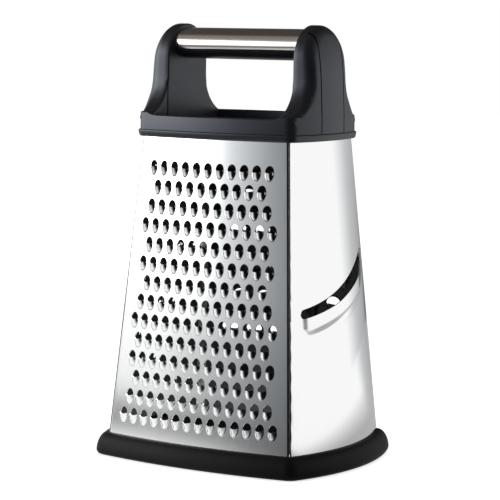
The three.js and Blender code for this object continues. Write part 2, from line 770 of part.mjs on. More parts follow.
function handleCap() {
  const levels = [
    [flangeOverhang - flangeEdge, capBottom],
    [flangeOverhang, capBottom + flangeEdge],
    [flangeOverhang, flangeTop - flangeEdge],
    [wallOverhang, flangeTop],
    [wallOverhang, rimTop - rimChamfer],
    [wallOverhang - rimChamfer, rimTop],
  ];
  const prism = (plan, offset, low, high) => {
    return toSolid(skin([outline(plan, offset, low), outline(plan, offset, high)]));
  };
  const turned = (geometry, side) => toSolid(side > 0 ? geometry : geometry.clone().rotateZ(Math.PI));
  let solid = toSolid(skin(levels.map(([offset, z]) => outline(capPlan, offset, z))));
  solid = solid.subtract(prism(capPlan, wallOverhang - rimThickness, deckTop, rimTop + rimHeight));
  for (const side of [-1, 1]) solid = solid.add(turned(cheek(0), side));
  const cavity = [capBottom - flangeHeight, flangeTop].map((z) => outline(bodyPlan(z), gap, z));
  solid = solid.subtract(toSolid(skin(cavity)));
  const channel = toGeometry(
    coverBand(coverWidth / 2 + gap / 2, flangeTop, coverLedge).subtract(toSolid(cheek(coverThickness + gap))),
  );
  const bore = crosswise(gripScrewDiameter / 2 + gap, cheekInner, coverSeat + coverThickness, gripCentre);
  const counterbore = crosswise(gripScrewHead / 2 + gap, headSeat, coverSeat + coverThickness, gripCentre);
  for (const side of [-1, 1]) {
    for (const cut of [channel, bore, counterbore]) solid = solid.subtract(turned(cut, side));
  }
  const socket = alongGrip(ovalShape(-gap, 0, 2 * Math.PI, false), cheekInner + gripSocket);
  solid = solid.subtract(toSolid(socket));
  for (const place of clampPlaces) {
    const pilot = upright(clampScrewDiameter / 2 + gap, capBottom, steelTop + clampScrewGrip + gap, place);
    solid = solid.subtract(toSolid(pilot));
  }
  return toGeometry(solid);
}

const polishedSteel = new THREE.MeshStandardMaterial({ color: 0xd9dcde, roughness: 0.12, metalness: 1 });
const satinSteel = new THREE.MeshStandardMaterial({ color: 0xc4c8ca, roughness: 0.32, metalness: 1 });
const screwSteel = new THREE.MeshStandardMaterial({ color: 0x9a9da0, roughness: 0.4, metalness: 1 });
const blackPlastic = new THREE.MeshStandardMaterial({ color: 0x232427, roughness: 0.38, metalness: 0 });
const blackRubber = new THREE.MeshStandardMaterial({ color: 0x161616, roughness: 0.75, metalness: 0 });

const grater = new THREE.Group();

function addPiece(name, geometry, material) {
  const piece = new THREE.Mesh(geometry, material);
  piece.name = name;
  grater.add(piece);
  return piece;
}

addPiece('front_panel', scoopPanel(shredForm), satinSteel);
addPiece('back_panel', scoopPanel(coarseForm), satinSteel).rotation.z = Math.PI;
addPiece('right_panel', slicingPanel(), polishedSteel);
addPiece('left_panel', burrPanel(burrForm), polishedSteel).rotation.z = Math.PI;
addPiece('foot_ring', footRing(), blackRubber);
addPiece('handle_cap', handleCap(), blackPlastic);
addPiece('right_cheek_cover', cheekCover(), blackPlastic);
addPiece('left_cheek_cover', cheekCover(), blackPlastic).rotation.z = Math.PI;
addPiece('grip_core', gripCore(), blackPlastic);
addPiece('grip_sleeve', welded(gripSleeve()), satinSteel);
addPiece('clamp_frame', clampFrame(), blackPlastic);

clampPlaces.forEach(([x, y]) => {
  const name = `clamp_screw_${y < 0 ? 'front' : 'back'}_${x < 0 ? 'left' : 'right'}`;
  const length = clampPlate + clampScrewGrip;
  const piece = addPiece(name, welded(screw(clampScrewDiameter, clampScrewHead, length)), screwSteel);
  piece.rotation.x = Math.PI / 2;
  piece.position.set(x, y, steelTop - clampPlate - gap);
});

for (const side of [-1, 1]) {
  const length = headSeat + gap - gripHalf + gripScrewGrip;
  const name = `${side < 0 ? 'left' : 'right'}_grip_screw`;
  const piece = addPiece(name, welded(screw(gripScrewDiameter, gripScrewHead, length)), screwSteel);
  piece.rotation.z = side * Math.PI / 2;
  piece.position.set(side * (headSeat + gap), 0, gripCentre);
}

export default grater;
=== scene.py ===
# Box grater on a pale floor: punched steel panels, a moulded cap with a steel-sleeved grip, a rubber foot.
import math

import bmesh
import bpy
from mathutils import Matrix, Vector


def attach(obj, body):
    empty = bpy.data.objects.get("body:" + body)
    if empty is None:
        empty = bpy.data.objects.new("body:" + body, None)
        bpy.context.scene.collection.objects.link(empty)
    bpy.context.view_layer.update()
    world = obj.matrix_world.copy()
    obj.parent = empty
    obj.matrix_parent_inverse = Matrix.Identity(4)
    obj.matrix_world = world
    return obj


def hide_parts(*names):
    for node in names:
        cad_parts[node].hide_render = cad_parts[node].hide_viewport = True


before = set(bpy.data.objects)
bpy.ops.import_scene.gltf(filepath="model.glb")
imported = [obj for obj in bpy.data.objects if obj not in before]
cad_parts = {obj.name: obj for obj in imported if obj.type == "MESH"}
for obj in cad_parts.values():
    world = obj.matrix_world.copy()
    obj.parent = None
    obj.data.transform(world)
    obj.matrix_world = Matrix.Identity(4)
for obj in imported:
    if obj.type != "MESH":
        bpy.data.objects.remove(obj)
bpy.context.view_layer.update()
print("frame loaded:", len(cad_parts), "nodes")

mm = 0.001  # pieces are modelled in millimetres and scaled once, when they are finished


# Body form, shared by the panels, the foot and the cap

body = {
    "footTop": 12.0,
    "capBottom": 177.0,
    "halfWidth": (58.7, 47.1),  # half chords of the walls, at the foot and under the cap
    "halfDepth": (48.0, 33.4),
    "frontRise": (5.7, 5.1),  # how far the walls bow out past their chords
    "sideRise": (10.4, 4.0),
    "steelBottom": 5.5,
    "steelTop": 179.9,
    "sheet": 0.6,
    "lap": 0.75,  # side sheet and its clearance, outside the folded edges
    "foldRadius": 1.5,
    "returnDepth": 5.5,
    "returnEnds": (13.0, 170.0),
    "weld": 0.3,
    "edgeRoll": ((0.14, 0.05), (0.08, 0.14)),  # how far a side sheet's edge runs out and turns in, by steps
    "foldSteps": 5,
    "innerTilt": 0.5,  # a face whose normal points in by more than this is on the inside of its sheet
    "wallSteps": 20,
    "cornerSteps": 7,
}


def planAt(z):
    t = (z - body["footTop"]) / (body["capBottom"] - body["footTop"])
    keys = ("halfWidth", "halfDepth", "frontRise", "sideRise")
    return {key: body[key][0] + (body[key][1] - body[key][0]) * t for key in keys}


# Radius, half angle and centre (along its outward axis) of a front or side wall
def wallArc(plan, isSide):
    chord, rise, reach = plan["halfWidth"], plan["frontRise"], plan["halfDepth"]
    if isSide:
        chord, rise, reach = plan["halfDepth"], plan["sideRise"], plan["halfWidth"]
    radius = (chord ** 2 + rise ** 2) / (2 * rise)
    return radius, 2 * math.atan(rise / chord), reach + rise - radius


# A point of the flattened sheet, u across and z up, on a wall that faces -Y
def onWall(arc, u, z, lift):
    radius, halfAngle, centre = arc
    turn = u / radius
    return Vector(((radius + lift) * math.sin(turn), -centre - (radius + lift) * math.cos(turn), z))


# Where the front sheet starts to fold, and by how much it turns
def foldAt(z):
    plan = planAt(z)
    front, side = wallArc(plan, False), wallArc(plan, True)
    turn = math.pi / 2 - front[1] - side[1]
    corner = front[0] * front[1] - body["lap"] / math.sin(turn)
    return corner - body["foldRadius"] * math.tan(turn / 2), turn, corner


def onFoldedWall(u, z, lift):
    arc = wallArc(planAt(z), False)
    start, turn, corner = foldAt(z)
    over = abs(u) - start
    if over <= 0:
        return onWall(arc, u, z, lift)
    radius = body["foldRadius"]
    angle = start / arc[0]
    out = Vector((math.sin(angle), -math.cos(angle), 0))
    along = Vector((math.cos(angle), math.sin(angle), 0))
    bent = min(over / radius, turn)
    hub = onWall(arc, start, z, 0) - out * radius
    rim = hub + (out * math.cos(bent) + along * math.sin(bent)) * radius
    point = rim + (along * math.cos(bent) - out * math.sin(bent)) * (over - bent * radius)
    point.x = math.copysign(point.x, u)
    return point


def smoothStep(t):
    t = min(max(t, 0.0), 1.0)
    return t * t * (3 - 2 * t)


# Closed loop round the body or the cap at a distance from its wall, with filleted corners
def outline(plan, offset, z, fillet):
    front, side = wallArc(plan, False), wallArc(plan, True)
    near, far = front[0] + offset, side[0] + offset
    hub = Vector((side[2], front[2]))
    foot = (hub.length_squared + near ** 2 - far ** 2) / (2 * hub.length)
    rise = math.sqrt(near ** 2 - foot ** 2)
    unit = hub.normalized()
    base = Vector((0, -front[2])) + unit * foot
    across = Vector((unit.y, -unit.x)) * rise
    corner = max(base + across, base - across, key=lambda p: p.x - p.y)
    frontEnd = math.atan2(corner.x, -corner.y - front[2]) - fillet / near
    sideEnd = math.atan2(-corner.y, corner.x - side[2]) - fillet / far
    frontArc, sideArc, bend = [], [], []
    for k in range(body["wallSteps"] + 1):
        share = math.sin((k / body["wallSteps"] - 0.5) * math.pi)
        onFront, onSide = share * frontEnd, share * sideEnd
        frontArc.append(Vector((near * math.sin(onFront), -front[2] - near * math.cos(onFront))))
        sideArc.append(Vector((side[2] + far * math.cos(onSide), far * math.sin(onSide))))
    for k in range(1, body["cornerSteps"]):
        t = k / body["cornerSteps"]
        bend.append(frontArc[-1] * (1 - t) ** 2 + corner * 2 * t * (1 - t) + sideArc[0] * t ** 2)
    half = frontArc + bend + sideArc + [Vector((p.x, -p.y)) for p in reversed(bend)]
    return [Vector((p.x, p.y, z)) for p in half + [-p for p in half]]


# Skin over loops of equal length, closed into a ring where it is asked for; gives each loop's edges
def skinLoops(bm, loops, ring=False):
    rows = [[bm.verts.new(point) for point in loop] for loop in loops]
    for low, high in list(zip(rows, rows[1:])) + ([(rows[-1], rows[0])] if ring else []):
        for i in range(len(low)):
            bm.faces.new((low[i - 1], low[i], high[i], high[i - 1]))
    return [[bm.edges.get((row[i - 1], row[i])) for i in range(len(row))] for row in rows]


# Smooth faces, with edges over the given angle kept sharp
def smoothBelow(bm, degrees):
    bm.normal_update()
    for face in bm.faces:
        face.smooth = True
    for edge in bm.edges:
        edge.smooth = edge.calc_face_angle(0) < math.radians(degrees)


def vertsOf(items):
    return [item for item in items if isinstance(item, bmesh.types.BMVert)]


def whole(bm):
    return bm.verts[:] + bm.edges[:] + bm.faces[:]


def meshFrom(name, bm):
    mesh = bpy.data.meshes.new(name)
    bm.to_mesh(mesh)
    bm.free()
    return mesh


def addObject(name, data):
    thing = bpy.data.objects.new(name, data)
    bpy.context.scene.collection.objects.link(thing)
    return thing


def addPiece(name, bm, material, nodes, sharpOver=40):
    bmesh.ops.scale(bm, vec=(mm, mm, mm), verts=bm.verts)
    smoothBelow(bm, sharpOver)
    mesh = meshFrom(name, bm)
    mesh.materials.append(material)
    piece = addObject(name, mesh)
    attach(piece, "root")
    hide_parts(*nodes)
    print("piece", name, len(mesh.polygons), "faces")
    return piece


def turned(bm, degrees):
    bmesh.ops.rotate(bm, verts=bm.verts, matrix=Matrix.Rotation(math.radians(degrees), 3, "Z"))


# Turns an open skin's normals to the given side
def facing(bm, direction):
    bmesh.ops.recalc_face_normals(bm, faces=bm.faces)
    total = sum((face.normal * face.calc_area() for face in bm.faces), Vector())
    if total.dot(direction) < 0:
        bmesh.ops.reverse_faces(bm, faces=bm.faces)


# Materials

def linear(hexCode):
    parts = [int(hexCode[i:i + 2], 16) / 255 for i in (0, 2, 4)]
    return tuple(c / 12.92 if c <= 0.04045 else ((c + 0.055) / 1.055) ** 2.4 for c in parts) + (1.0,)


def addNode(tree, kind, values=None, links=None, **settings):
    node = tree.nodes.new(kind)
    for key, value in settings.items():
        setattr(node, key, value)
    for key, value in (values or {}).items():
        node.inputs[key].default_value = value
    for key, source in (links or {}).items():
        tree.links.new(source, node.inputs[key])
    return node


def newMaterial(name, values):
    material = bpy.data.materials.new(name)
    material.use_nodes = True
    tree = material.node_tree
    shader = tree.nodes["Principled BSDF"]
    for key, value in values.items():
        shader.inputs[key].default_value = value
    place = addNode(tree, "ShaderNodeTexCoord").outputs["Object"]
    return material, tree, shader, place


# Steel finishes: colour, size of a brush line along X, Y and Z in mm, least and most roughness, depth in mm
steels = {
    # cold-rolled sheet with a satin finish: a soft grey mirror, its lines run up the panel
    "satin stainless sheet": ("f3f4f4", (0.5, 0.5, 40.0), (0.11, 0.16), 0.002),
    # the same sheet, bright polished on the sides: a clear mirror with faint rolling marks
    "polished stainless sheet": ("f7f7f7", (1.2, 1.2, 60.0), (0.06, 0.09), 0.002),
    # the inside of the sheet as it came from the mill: dull, and painted dark as the shade inside the body
    "mill stainless sheet with painted shade": ("5c5e60", (0.8, 0.8, 30.0), (0.38, 0.5), 0.004),
    # tube brushed along its length: a soft streak of light, warm grey
    "brushed stainless tube": ("eeeae5", (50.0, 0.35, 0.35), (0.16, 0.22), 0.003),
    # zinc-plated screw steel: dull grey
    "zinc plated steel": ("9a9da0", (0.4, 0.4, 0.4), (0.35, 0.5), 0.01),
}
texture = {
    "brushDetail": 3.0, "brushBump": 0.35, "grainDetail": 2.0, "grainBump": 0.4,
    "cloudSize": 30,  # the slow change of tone, in grains
}


# Steel with the fine lines of a brush or a roll: noise drawn out along one direction
def brushedSteel(name):
    colour, lineSize, roughness, depth = steels[name]
    material, tree, shader, place = newMaterial(name, {"Base Color": linear(colour), "Metallic": 1.0})
    scale = [1 / (size * mm) for size in lineSize]
    stretch = addNode(tree, "ShaderNodeMapping", {"Scale": scale}, {"Vector": place})
    lines = addNode(
        tree, "ShaderNodeTexNoise", {"Scale": 1.0, "Detail": texture["brushDetail"]},
        {"Vector": stretch.outputs["Vector"]})
    level = addNode(
        tree, "ShaderNodeMapRange", {"To Min": roughness[0], "To Max": roughness[1]},
        {"Value": lines.outputs["Fac"]})
    bump = addNode(
        tree, "ShaderNodeBump", {"Strength": texture["brushBump"], "Distance": depth * mm},
        {"Height": lines.outputs["Fac"]})
    tree.links.new(level.outputs["Result"], shader.inputs["Roughness"])
    tree.links.new(bump.outputs["Normal"], shader.inputs["Normal"])
    return material


# Grained surface: a fine even noise in the roughness and the relief, sizes in millimetres
def grained(tree, shader, place, grain, roughness, depth, colours):
    fine = addNode(
        tree, "ShaderNodeTexNoise", {"Scale": 1 / (grain * mm), "Detail": texture["grainDetail"]},
        {"Vector": place})
    broad = addNode(
        tree, "ShaderNodeTexNoise",
        {"Scale": 1 / (texture["cloudSize"] * grain * mm), "Detail": texture["grainDetail"]},
        {"Vector": place})
    level = addNode(
        tree, "ShaderNodeMapRange", {"To Min": roughness[0], "To Max": roughness[1]},
        {"Value": broad.outputs["Fac"]})
    shade = addNode(
        tree, "ShaderNodeMix", {"A": linear(colours[0]), "B": linear(colours[1])},
        {"Factor": broad.outputs["Fac"]}, data_type="RGBA")
    bump = addNode(
        tree, "ShaderNodeBump", {"Strength": texture["grainBump"], "Distance": depth * mm},
        {"Height": fine.outputs["Fac"]})
    tree.links.new(shade.outputs["Result"], shader.inputs["Base Color"])
    tree.links.new(level.outputs["Result"], shader.inputs["Roughness"])
    tree.links.new(bump.outputs["Normal"], shader.inputs["Normal"])


# Moulded black ABS from a fine eroded tool: satin, with a slight sparkle
# The grain is about 0.1 mm on the real part and is drawn coarser so that it shows
def satinPlastic():
    material, tree, shader, place = newMaterial("moulded black ABS", {
        "IOR": 1.52, "Specular Tint": linear("e4edfb")})
    grained(tree, shader, place, 0.45, (0.3, 0.38), 0.02, ("17171a", "1c1c20"))
    return material


# Moulded black rubber: matte, with a dry even skin
def blackRubber():
    material, tree, shader, place = newMaterial("moulded black rubber", {
        "IOR": 1.5, "Specular IOR Level": 0.1})
    grained(tree, shader, place, 0.6, (0.5, 0.58), 0.03, ("090909", "0d0d0d"))
    return material


steelSatin = brushedSteel("satin stainless sheet")
steelPolished = brushedSteel("polished stainless sheet")
# steel for the panels' inner faces: dull, and darker as painted shade
steelMillPaintedShade = brushedSteel("mill stainless sheet with painted shade")
steelTube = brushedSteel("brushed stainless tube")
steelZinc = brushedSteel("zinc plated steel")
plasticBlack = satinPlastic()
rubberBlack = blackRubber()
print("materials ready")


# Panels with rows of pressed holes

shredScoops = {
    "pitch": 7.45, "rowPitch": 10.52, "width": 5.2, "height": 8.6, "opening": 3.3, "lift": 2.1, "dip": 0.5,
    "border": 8.82, "top": 16.8, "bottom": 11.0, "segments": 16, "rings": 4, "rim": 0.35,
    "ridge": 1.5, "bulge": 0.85,  # how sharp the back's ridge is and how evenly it climbs
}
coarseScoops = {
    "pitch": 15.6, "rowPitch": 19.6, "width": 10.4, "height": 14.0, "opening": 4.2, "lift": 3.6, "dip": 1.2,
    "border": 12.0, "top": 20.0, "bottom": 14.0, "segments": 24, "rings": 5, "rim": 0.6,
    "ridge": 1.5, "bulge": 0.85,
}
burrs = {
    "pitch": 12.4, "rowPitch": 16.0, "width": 5.0, "hole": 2.2, "lift": 1.4, "tear": 0.5, "spread": 0.2,
    "border": 8.0, "top": 18.0, "bottom": 12.0, "segments": 16, "rim": 0.5,
    "setBack": 1.3,  # its sheet stops this far short of the folded corners
}


# Height and number of holes of each row, as many as the panel allows
def holeRows(form, halfWidthAt):
    first = body["capBottom"] - form["top"]
    count = int((first - body["footTop"] - form["bottom"]) // form["rowPitch"]) + 1
    rows = []
    for row in range(count):
        z = first - row * form["rowPitch"]
        columns = (halfWidthAt(z) - form["border"]) / form["pitch"]
        rows.append((z, 2 * int(columns) + 1 if row % 2 == 0 else 2 * int(columns + 0.5)))
    return rows


# Edge of one hole's own cell, from the turn round its middle
def cellPoint(form, turn):
    eighths = turn / (math.pi / 4)
    halfPitch, halfRow = form["pitch"] / 2, form["rowPitch"] / 2
    if abs(eighths) <= 1:
        return Vector((halfPitch, 0, eighths * halfRow))
    if abs(eighths) >= 3:
        return Vector((-halfPitch, 0, math.copysign(4 - abs(eighths), turn) * halfRow))
    return Vector(((2 - abs(eighths)) * halfPitch, 0, math.copysign(halfRow, turn)))


# Outline of a scoop, grown by a rim: a low arc over a higher one that meet at the slit
def scoopPoint(form, turn, rim):
    rise = form["opening"] if turn > 0 else form["height"] - form["opening"]
    slit = form["height"] / 2 - form["opening"]
    return Vector((
        (form["width"] / 2 + rim) * math.cos(turn), 0, slit + (rise + rim) * math.sin(turn)))


def domePoint(form, turn, share):
    slit = form["height"] / 2 - form["opening"]
    swell = abs(math.sin(turn)) ** form["ridge"]
    reach = form["height"] - form["opening"]
    drop = swell * (reach + (form["dip"] - reach) * share)  # straight up from the tip to the lip
    lift = form["lift"] * swell * share ** form["bulge"]
    return Vector((form["width"] / 2 * math.cos(turn), -lift, slit - drop))


def burrPoint(form, turn, share):
    petal = math.cos(4 * turn)  # four torn tips
    hole = form["hole"] / 2 - form["spread"] * petal * share
    across = form["width"] / 2 * (1 - share) + hole * share
    lift = (form["lift"] + form["tear"] * petal * share) * math.sin(share * math.pi / 2)
    return Vector((across * math.cos(turn), -lift, across * math.sin(turn)))


# A ring is drawn out of another one in place, and each ring is moved to its own form afterwards
def drawOut(bm, edges):
    made = bmesh.ops.extrude_edge_only(bm, edges=edges)["geom"]
    verts = vertsOf(made)
    rim = set(verts)
    return verts, [e for e in made if isinstance(e, bmesh.types.BMEdge) and set(e.verts) <= rim]


def pressedHole(bm, form, isScoop):
    circle = bmesh.ops.create_circle(bm, cap_ends=False, segments=form["segments"], radius=1.0)["verts"]
    edges = list({edge for vert in circle for edge in vert.link_edges})
    turnOf = lambda vert: round(math.atan2(vert.co.y, vert.co.x), 5)
    rings = [(circle, lambda turn: scoopPoint(form, turn, 0) if isScoop else burrPoint(form, turn, 0))]
    rimVerts, rimEdges = drawOut(bm, edges)
    if isScoop:
        rings.append((rimVerts, lambda turn: scoopPoint(form, turn, form["rim"])))
    else:
        grown = dict(form, width=form["width"] + 2 * form["rim"])
        rings.append((rimVerts, lambda turn: burrPoint(grown, turn, 0)))
    cellVerts, cellEdges = drawOut(bm, rimEdges)
    rings.append((cellVerts, lambda turn: cellPoint(form, turn)))
    inner = edges
    if isScoop:
        below = lambda vert: turnOf(vert) % (2 * math.pi) > math.pi + 1e-3
        inner = [edge for edge in edges if any(below(v) for v in edge.verts)]
        inner = [edge for edge in inner if all(v.co.y < 1e-6 for v in edge.verts)]
    steps = form.get("rings", 2)
    for k in range(1, steps + 1):
        verts, inner = drawOut(bm, inner)
        place = domePoint if isScoop else burrPoint
        rings.append((verts, lambda turn, k=k, place=place: place(form, turn, k / steps)))
    moved = [(vert, place(turnOf(vert))) for verts, place in rings for vert in verts]
    for vert, point in moved:
        vert.co = point


# Flat sheet with its holes in place, cut to its slanting edges
def punchedBlank(form, rows, edgeAt, isScoop):
    cells = form["segments"] // 4
    stepU, stepZ = form["pitch"] / cells, form["rowPitch"] / cells
    low = rows[-1][0] - form["rowPitch"] / 2
    high = rows[0][0] + form["rowPitch"] / 2
    lowSteps = math.ceil((low - body["steelBottom"]) / stepZ)
    highSteps = math.ceil((body["steelTop"] - high) / stepZ)
    heights = [body["steelBottom"] + (low - body["steelBottom"]) * k / lowSteps for k in range(lowSteps)]
    heights += [low + stepZ * k for k in range(len(rows) * cells)]
    heights += [high + (body["steelTop"] - high) * k / highSteps for k in range(highSteps + 1)]
    columns = math.ceil(edgeAt(body["steelBottom"]) / stepU) + 1
    bm = bmesh.new()
    bmesh.ops.create_grid(bm, x_segments=2 * columns, y_segments=len(heights) - 1, size=1.0)
    for vert in bm.verts:
        level = round((vert.co.y + 1) / 2 * (len(heights) - 1))
        vert.co = (round(vert.co.x * columns) * stepU, 0, heights[level])
    spent = []
    for z, count in rows:
        for face in bm.faces:
            middle = face.calc_center_median()
            if abs(middle.z - z) < form["rowPitch"] / 2 and abs(middle.x) < count * form["pitch"] / 2:
                spent.append(face)
    bmesh.ops.delete(bm, geom=spent, context="FACES")
    before = set(bm.verts), set(bm.edges), set(bm.faces)
    pressedHole(bm, form, isScoop)
    master = []
    for kind, old in zip((bm.verts, bm.edges, bm.faces), before):
        master += [item for item in kind if item not in old]
    for z, count in rows:
        for k in range(count):
            verts = vertsOf(bmesh.ops.duplicate(bm, geom=master)["geom"])
            bmesh.ops.translate(bm, verts=verts, vec=((k - (count - 1) / 2) * form["pitch"], 0, z))
    bmesh.ops.delete(bm, geom=vertsOf(master), context="VERTS")
    bmesh.ops.remove_doubles(bm, verts=bm.verts, dist=0.01)
    trimEdges(bm, edgeAt)
    return bm


# Cuts the sheet along both of its slanting edges
# Corners left close beside a cut are welded to it, so that no sliver spoils the shading
def trimEdges(bm, edgeAt):
    low, high = body["steelBottom"], body["steelTop"]
    lean = (edgeAt(high) - edgeAt(low)) / (high - low)
    for side in (-1, 1):
        made = bmesh.ops.bisect_plane(
            bm, geom=whole(bm), dist=1e-4,
            plane_co=(side * edgeAt(low), 0, low), plane_no=(side, 0, -lean), clear_outer=True)
        cut = vertsOf(made["geom_cut"])
        near = [v for v in bm.verts if abs(side * v.co.x - edgeAt(v.co.z)) < body["weld"]]
        doubles = bmesh.ops.find_doubles(bm, verts=near, keep_verts=cut, dist=body["weld"])
        bmesh.ops.weld_verts(bm, targetmap=doubles["targetmap"])
        bmesh.ops.dissolve_degenerate(bm, edges=bm.edges[:], dist=0.02)


# The trimmed edges of the sheet on one side
def borderEdges(bm, side, edgeAt):
    border = []
    for edge in bm.edges:
        isNear = all(abs(side * v.co.x - edgeAt(v.co.z)) < body["weld"] for v in edge.verts)
        if edge.is_boundary and isNear and abs(edge.verts[0].co.z - edge.verts[1].co.z) > 1e-4:
            border.append(edge)
    return border


# The edges of a side sheet are turned in slightly
def rollEdges(bm, edgeAt):
    for side in (-1, 1):
        edges = borderEdges(bm, side, edgeAt)
        for out, drop in body["edgeRoll"]:
            verts, edges = drawOut(bm, edges)
            bmesh.ops.translate(bm, verts=verts, vec=(side * out, drop, 0))


# From a bent skin to a panel: the sheet's thickness goes inwards
# Its inner face keeps the mill's dull finish, in a darker colour that is painted shade for the inside of the
# body
def finishPanel(name, bm, material, nodes, degrees):
    facing(bm, Vector((0, -1, 0)))
    bmesh.ops.solidify(bm, geom=bm.faces[:], thickness=body["sheet"])
    bm.normal_update()
    # the inner faces take the darker steel: painted shade
    for face in bm.faces:
        face.material_index = 1 if face.normal.y > body["innerTilt"] else 0
    turned(bm, degrees)
    piece = addPiece(name, bm, material, nodes, 50)
    piece.data.materials.append(steelMillPaintedShade)
    return piece


# Front or back panel: its border is drawn out round the fold and back along the side sheet
def foldedPanel(name, form, material, nodes, degrees):
    rows = holeRows(form, lambda z: foldAt(z)[2])
    startAt = lambda z: foldAt(z)[0]
    bm = punchedBlank(form, rows, startAt, True)
    low, high = body["returnEnds"]
    for side in (-1, 1):
        edges = borderEdges(bm, side, startAt)
        for k in range(1, body["foldSteps"] + 2):
            if k > body["foldSteps"]:
                edges = [edge for edge in edges if all(low < v.co.z < high for v in edge.verts)]
            verts, edges = drawOut(bm, edges)
            for vert in verts:
                begin, turn, corner = foldAt(vert.co.z)
                over = body["foldRadius"] * turn * min(k / body["foldSteps"], 1)
                vert.co.x = side * (begin + over + (body["returnDepth"] if k > body["foldSteps"] else 0))
    for vert in bm.verts:
        vert.co = onFoldedWall(vert.co.x, vert.co.z, -vert.co.y)
    print(name, "rows", [count for z, count in rows])
    return finishPanel(name, bm, material, nodes, degrees)


def sideEdge(z):
    arc = wallArc(planAt(z), True)
    return arc[0] * arc[1]


# Side panel from its flat sheet: its edges are turned in, and then it is bowed
def sidePanel(name, bm, edgeAt, material, nodes, degrees):
    rollEdges(bm, edgeAt)
    for vert in bm.verts:
        vert.co = onWall(wallArc(planAt(vert.co.z), True), vert.co.x, vert.co.z, -vert.co.y)
    return finishPanel(name, bm, material, nodes, degrees)


def burrPanel(name, form, material, nodes, degrees):
    edgeAt = lambda z: sideEdge(z) - form["setBack"]
    bm = punchedBlank(form, holeRows(form, sideEdge), edgeAt, False)
    return sidePanel(name, bm, edgeAt, material, nodes, degrees)


foldedPanel("front_shredding_panel", shredScoops, steelSatin, ["front_panel"], 0)
foldedPanel("back_coarse_panel", coarseScoops, steelSatin, ["back_panel"], 180)
burrPanel("left_burr_panel", burrs, steelPolished, ["left_panel"], 270)


# Slicing panel: rows of the flat sheet follow the slot, and the rows below it swell into the lip

slicer = {
    "front": -34.8, "frontHeight": 88.2,  # ends of the slot's upper edge, across and up the flat panel
    "back": 36.0, "backHeight": 118.0,
    "sag": 5.0, "gap": 5.0, "endRound": 2.6, "lipHeight": 10.2, "corner": 7.0,
    "lift": 3.0, "firstLift": 0.25, "frontEnd": 5.5, "frontRise": 34.0, "backEnd": 18.0,
    "bend": 4.4, "climb": 0.85,  # width of the curve up onto the lip, and its share of the lift
    "columnStep": 1.0, "lipRows": 12, "plainRows": 14,
    "setBack": 0.45,  # its sheet stops this far short of the folded corners
}


def slotArc():
    start = Vector((slicer["front"], slicer["frontHeight"]))
    chord = Vector((slicer["back"], slicer["backHeight"])) - start
    half = chord.length / 2
    radius = (half ** 2 + slicer["sag"] ** 2) / (2 * slicer["sag"])
    up = Vector((-chord.y, chord.x)).normalized()
    return start + chord / 2 + up * (radius - slicer["sag"]), radius


def slicingPanel(name, material, nodes, degrees):
    hub, radius = slotArc()
    onArc = lambda u, depth: hub.y - math.sqrt((radius + depth) ** 2 - (u - hub.x) ** 2)
    inside = lambda u: min(u - slicer["front"], slicer["back"] - u)

    # the lip lifts a little at its front end and then more and more along the slot
    def endFade(u):
        past = u - slicer["front"]
        first = smoothStep(past / slicer["frontEnd"])
        rest = smoothStep(past / slicer["frontRise"])
        share = slicer["firstLift"]
        return (share * first + (1 - share) * rest) * smoothStep((slicer["back"] - u) / slicer["backEnd"])

    # drop of a rounded end below its full height
    def rounding(u, size):
        near = min(max(size - inside(u), 0), size)
        return 1 - math.sqrt(1 - (near / size) ** 2)

    def lipFoot(u):
        full = onArc(u, slicer["gap"] + slicer["lipHeight"])
        return full + slicer["corner"] * rounding(u, slicer["corner"])

    count = math.ceil(sideEdge(body["steelBottom"]) / slicer["columnStep"]) + 1
    plain, lip = slicer["plainRows"], slicer["lipRows"]
    levels = plain + lip + 1 + plain
    bm = bmesh.new()
    bmesh.ops.create_grid(bm, x_segments=2 * count, y_segments=levels, size=1.0)
    rowOf = {vert: round((vert.co.y + 1) / 2 * levels) for vert in bm.verts}
    for vert, row in rowOf.items():
        u = round(vert.co.x * count) * slicer["columnStep"]
        end = min((slicer["front"], slicer["back"]), key=lambda place: abs(place - u))
        if abs(end - u) <= slicer["columnStep"] / 2:
            u = end
        half = slicer["gap"] / 2 * (1 - rounding(u, slicer["endRound"]))
        cut = onArc(u, slicer["gap"] / 2) - half
        upper = onArc(u, slicer["gap"] / 2) + half
        lift = 0.0
        if row <= plain:
            z = body["steelBottom"] + (lipFoot(u) - body["steelBottom"]) * row / plain
        elif row <= plain + lip:
            share = (row - plain) / lip
            z = lipFoot(u) + (cut - lipFoot(u)) * share
            climb = smoothStep(share * (cut - lipFoot(u)) / slicer["bend"])
            height = slicer["climb"] * climb + (1 - slicer["climb"]) * share
            lift = slicer["lift"] * height * endFade(u)
        else:
            z = upper + (body["steelTop"] - upper) * (row - plain - lip - 1) / plain
        vert.co = (u, -lift, z)
    slotRows = {plain + lip, plain + lip + 1}
    opening = []
    for face in bm.faces:
        if {rowOf[vert] for vert in face.verts} == slotRows and inside(face.calc_center_median().x) > 0:
            opening.append(face)
    bmesh.ops.delete(bm, geom=opening, context="FACES")
    bmesh.ops.remove_doubles(bm, verts=bm.verts, dist=0.005)
    edgeAt = lambda z: sideEdge(z) - slicer["setBack"]
    trimEdges(bm, edgeAt)
    return sidePanel(name, bm, edgeAt, material, nodes, degrees)


slicingPanel("right_slicing_panel", steelPolished, ["right_panel"], 90)


# Rubber foot: a channel swept round the body, with the lower edge of the steel in it

foot = {
    "reach": 6.2, "lip": 1.4, "roll": 3.0, "innerWall": 3.6, "innerHeight": 10.0, "clearance": 0.3,
    "rollSteps": 6, "crownSteps": 10, "fillet": 0.6, "innerFillet": 1.0,
}


